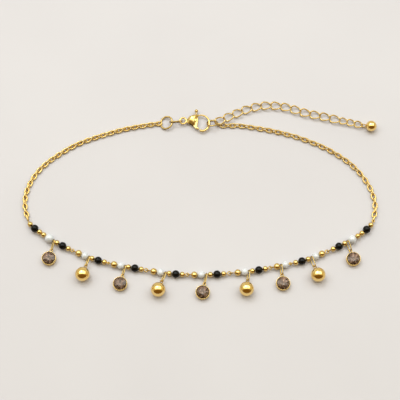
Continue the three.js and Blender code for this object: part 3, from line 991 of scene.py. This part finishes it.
def plate_model(outline, thickness, edge=0.0):
    """A plate of the outline, centred at the clasp's middle height, its edges rounded."""
    plate = added(bpy.ops.mesh.primitive_circle_add, vertices=len(outline), fill_type="NGON")
    for vertex, (x, y) in zip(plate.data.vertices, outline):
        vertex.co = (x, y, clasp_middle - thickness / 2)
    edit(plate, "FACE", lambda face: True)
    bpy.ops.mesh.extrude_region_move(TRANSFORM_OT_translate={"value": (0, 0, thickness)})
    bpy.ops.mesh.select_all(action="SELECT")
    bpy.ops.mesh.normals_make_consistent(inside=False)
    bpy.ops.object.mode_set(mode="OBJECT")
    if edge:
        rim = thickness / 2 - TOUCHING
        edit(plate, "EDGE", lambda e: all(abs(v.co.z - clasp_middle) > rim for v in e.verts))
        bpy.ops.mesh.bevel(offset=edge, segments=3, profile=0.5)
    close(plate, sharp=40)
    return plate


def cut(piece, tool):
    """Cuts the tool's shape out of the piece."""
    pick(piece)
    cutting = piece.modifiers.new("cut", "BOOLEAN")
    cutting.operation = "DIFFERENCE"
    cutting.object = tool
    bpy.ops.object.modifier_apply(modifier="cut")
    bpy.data.objects.remove(tool)


def rounded_outline(corners, per_side=6):
    """Points of a smooth closed curve through the corners."""
    corners = [Vector((x, y, 0)) for x, y in corners]
    sides = [[corners[(i + k) % len(corners)] for k in (-1, 0, 1, 2)] for i in range(len(corners))]
    return [Line.between(side, step / per_side) for side in sides for step in range(per_side)]


def domed_body():
    """The cast body: its outline drawn up and in to the top of a dome, and the same below."""
    outline = rounded_outline(BODY_OUTLINE)
    dome = added(bpy.ops.mesh.primitive_circle_add, vertices=len(outline))
    for vertex, spot in zip(dome.data.vertices, outline):
        vertex.co = spot
    edit(dome, "EDGE", lambda edge: True)
    width, height = 1.0, 0.0
    for next_width, height_share in BODY_DOME:
        top = clasp_middle * height_share
        bpy.ops.mesh.extrude_region_move(TRANSFORM_OT_translate={"value": (0, 0, top - height)})
        draw_in = next_width / width
        bpy.ops.transform.resize(value=(draw_in, draw_in, 1), center_override=(*BODY_CENTRE, top))
        width, height = next_width, top
    last_rise = (0, 0, clasp_middle - height)
    bpy.ops.mesh.extrude_region_move(TRANSFORM_OT_translate={"value": last_rise})
    bpy.ops.mesh.merge(type="CENTER")
    bpy.ops.object.mode_set(mode="OBJECT")
    pick(dome)
    mirror = dome.modifiers.new("underside", "MIRROR")
    mirror.use_axis = (False, False, True)
    bpy.ops.object.modifier_apply(modifier="underside")
    edit(dome, "FACE", lambda face: True)
    bpy.ops.mesh.normals_make_consistent(inside=False)
    close(dome)
    dome.data.transform(place((0, 0, clasp_middle)))
    return dome


def tapered_hook():
    """The hook: thin along its back, thicker where it comes round to the front."""
    hook_line = Line([(x, y, clasp_middle) for x, y in HOOK])
    spots = [hook_line.at(hook_line.length * i / HOOK_STEPS) for i in range(HOOK_STEPS + 1)]
    return wire_through(spots, HOOK_RADIUS, lambda share: HOOK_ROOT + HOOK_GAIN * share)


def pin_model(radius, length, around):
    """A round pin on the rivet's axis."""
    return added(
        bpy.ops.mesh.primitive_cylinder_add,
        vertices=around,
        radius=radius,
        depth=length,
        location=(0, 0, clasp_middle),
    )


def clasp_body():
    """The slotted body with its hook, tail ring and rivet, in the clasp's own place."""
    body = domed_body()
    cut(body, plate_model(SLOT["outline"], SLOT["height"]))
    close(body, sharp=35)
    tail_size = (TAIL_RING["outer"], TAIL_RING["outer"], TAIL_RING["wire"])
    tail = ring_model(*tail_size, around=40, sides=14)
    tail.data.transform(place((*TAIL_RING["at"], clasp_middle)))
    rivet = pin_model(RIVET["radius"], RIVET["length"], around=24)
    close(rivet, sharp=40)
    return joined([body, tapered_hook(), tail, rivet], "lobster_body")


body = clasp_body()
body.data.transform(clasp_place)
fitted(body, clasp_gold, "gold", "clasp_body")

# ---- Clasp lever ----------------------------------------------------------------------------------
# A lever of cast brass, gold plated, on the clasp's rivet: the gate that closes the hook's mouth, an
# arm through the slot, and a round thumb knob on a thin neck that stands out of the body's top.

LEVER = {
    "thickness": 0.7,
    "edge": 0.12,
    "outline": [
        (0.12, 3.95),
        (-0.22, 3.95),
        (-0.35, 1.2),
        (-0.95, 0.6),
        (-0.95, -0.6),
        (-0.6, -2.5),
        (0.6, -3.6),
        (1.7, -3.8),
        (1.92, -3.42),
        (1.0, -2.5),
        (1.05, 0.8),
        (0.85, 1.55),
        (0.25, 1.75),
    ],
}
GATE = {
    "thickness": 1.5,
    "edge": 0.15,
    "outline": [(0.65, -3.6), (1.7, -3.8), (1.92, -3.42), (1.0, -2.75)],
}
KNOB = {"at": (-0.05, 4.5), "radius": 0.72}
LEVER_BORE = 0.47


def clasp_lever():
    """The arm, bored for the rivet, with its gate and knob, in the clasp's own place."""
    arm = plate_model(LEVER["outline"], LEVER["thickness"], LEVER["edge"])
    cut(arm, pin_model(LEVER_BORE, CLASP["thickness"], around=32))
    close(arm, sharp=35)
    gate = plate_model(GATE["outline"], GATE["thickness"], GATE["edge"])
    knob = ball_model(KNOB["radius"], around=32)
    knob.data.transform(place((*KNOB["at"], clasp_middle)))
    return joined([arm, gate, knob], "lobster_lever")


# Its tone is painted shade: the same gold plate, darker.
lever_gold = gold_finish("lever_gold", roughness=0.24, tone=0.68)
lever = clasp_lever()
lever.data.transform(clasp_place)
fitted(lever, lever_gold, "gold", "clasp_lever", body="lever")

# ---- Extender chain -------------------------------------------------------------------------------
# A curb chain of sixteen larger links of gold plated brass: each soldered link is twisted about its
# length, so that the chain lies flat, and runs through its neighbours. The last three are smaller.

EXTENDER_LINE = [
    (8.2, 34.2, 1.7),
    (12.2, 36.3, 1.4),
    (19.6, 39.7, 1.15),
    (27.1, 41.4, 1.15),
    (35.1, 40.7, 1.15),
    (43.3, 38.1, 1.15),
    (51.4, 36.2, 1.15),
    (58.9, 34.3, 1.15),
    (65.9, 32.6, 1.15),
]
EXTENDER = {"wire": 0.6, "twist": -80, "bite": 0.43}
EXTENDER_SIZES = [(4.9, 3.7)] * 13 + [(3.9, 3.2)] * 3  # each link's length and width

extender_line = Line(EXTENDER_LINE)
extender_models = {
    size: ring_model(*size, EXTENDER["wire"], around=36, twist=EXTENDER["twist"])
    for size in sorted(set(EXTENDER_SIZES))
}


def extender_places():
    """The matrix of each link of the extender."""
    reached = 0
    places = []
    for size, after in zip(EXTENDER_SIZES, EXTENDER_SIZES[1:] + EXTENDER_SIZES[-1:]):
        places.append(place(extender_line.at(reached), heading(extender_line.along(reached))))
        reached += (size[0] + after[0]) / 2 - 2 * EXTENDER["wire"] + EXTENDER["bite"]
    return places


extender_spots = extender_places()
extender_links = [
    copied(extender_models[size], TO_FRAME @ spot)
    for size, spot in zip(EXTENDER_SIZES, extender_spots)
]
# Its tone is painted shade: the same gold plate, darker.
extender_gold = gold_finish("extender_gold", roughness=0.22, tone=0.74)
fitted(joined(extender_links, "curb_extender"), extender_gold, "gold", "extender_chain")

# ---- End ball -------------------------------------------------------------------------------------
# A polished ball of gold plated brass that weights the extender's free end. A short neck and a wire
# loop are soldered to it, and the loop hangs in the last link.

END_BALL = {"radius": 2.2, "loop": (2.4, 1.6), "height": 1.1, "roll": 50, "bite": 0.3, "play": 0.12}
END_NECK_WIRE = {"radius": 0.3, "length": 1.2}


def end_ball():
    """The ball round its own centre, its loop towards -X."""
    radius, (loop_length, loop_width) = END_BALL["radius"], END_BALL["loop"]
    lift = END_BALL["height"] - radius
    ball = ball_model(radius)
    loop = thin(ring_model(loop_length, loop_width, LOOP_WIRE, around=32))
    loop_middle = (END_BALL["bite"] - radius - loop_length / 2, 0, lift)
    loop.data.transform(place(loop_middle, roll=END_BALL["roll"]))
    neck_end = -radius - END_BALL["play"]
    neck = wire_through(
        [Vector((neck_end, 0, lift)), Vector((neck_end + END_NECK_WIRE["length"], 0, lift))],
        END_NECK_WIRE["radius"],
    )
    return joined([ball, loop, neck], "end_ball_charm")


last_length = EXTENDER_SIZES[-1][0]
half_loop = END_BALL["loop"][0] / 2
end_reach = END_BALL["radius"] + half_loop - END_BALL["bite"]
end_from = last_length / 2 - EXTENDER["wire"] - LOOP_WIRE - END_BALL["play"] + half_loop
tip = end_ball()
last_link = extender_spots[-1].copy()
last_link.translation.z = END_BALL["radius"]
tip.data.transform(TO_FRAME @ last_link @ place((end_from + end_reach, 0, 0)))
fitted(tip, ball_gold, "gold", "end_ball")

# ---- The end --------------------------------------------------------------------------------------
# The models that the pieces were copied from are removed.

single_models = [charm_ring_model, ball_charm, cup, stone]
for model in [*bead_models.values(), *single_models, *extender_models.values()]:
    bpy.data.objects.remove(model)
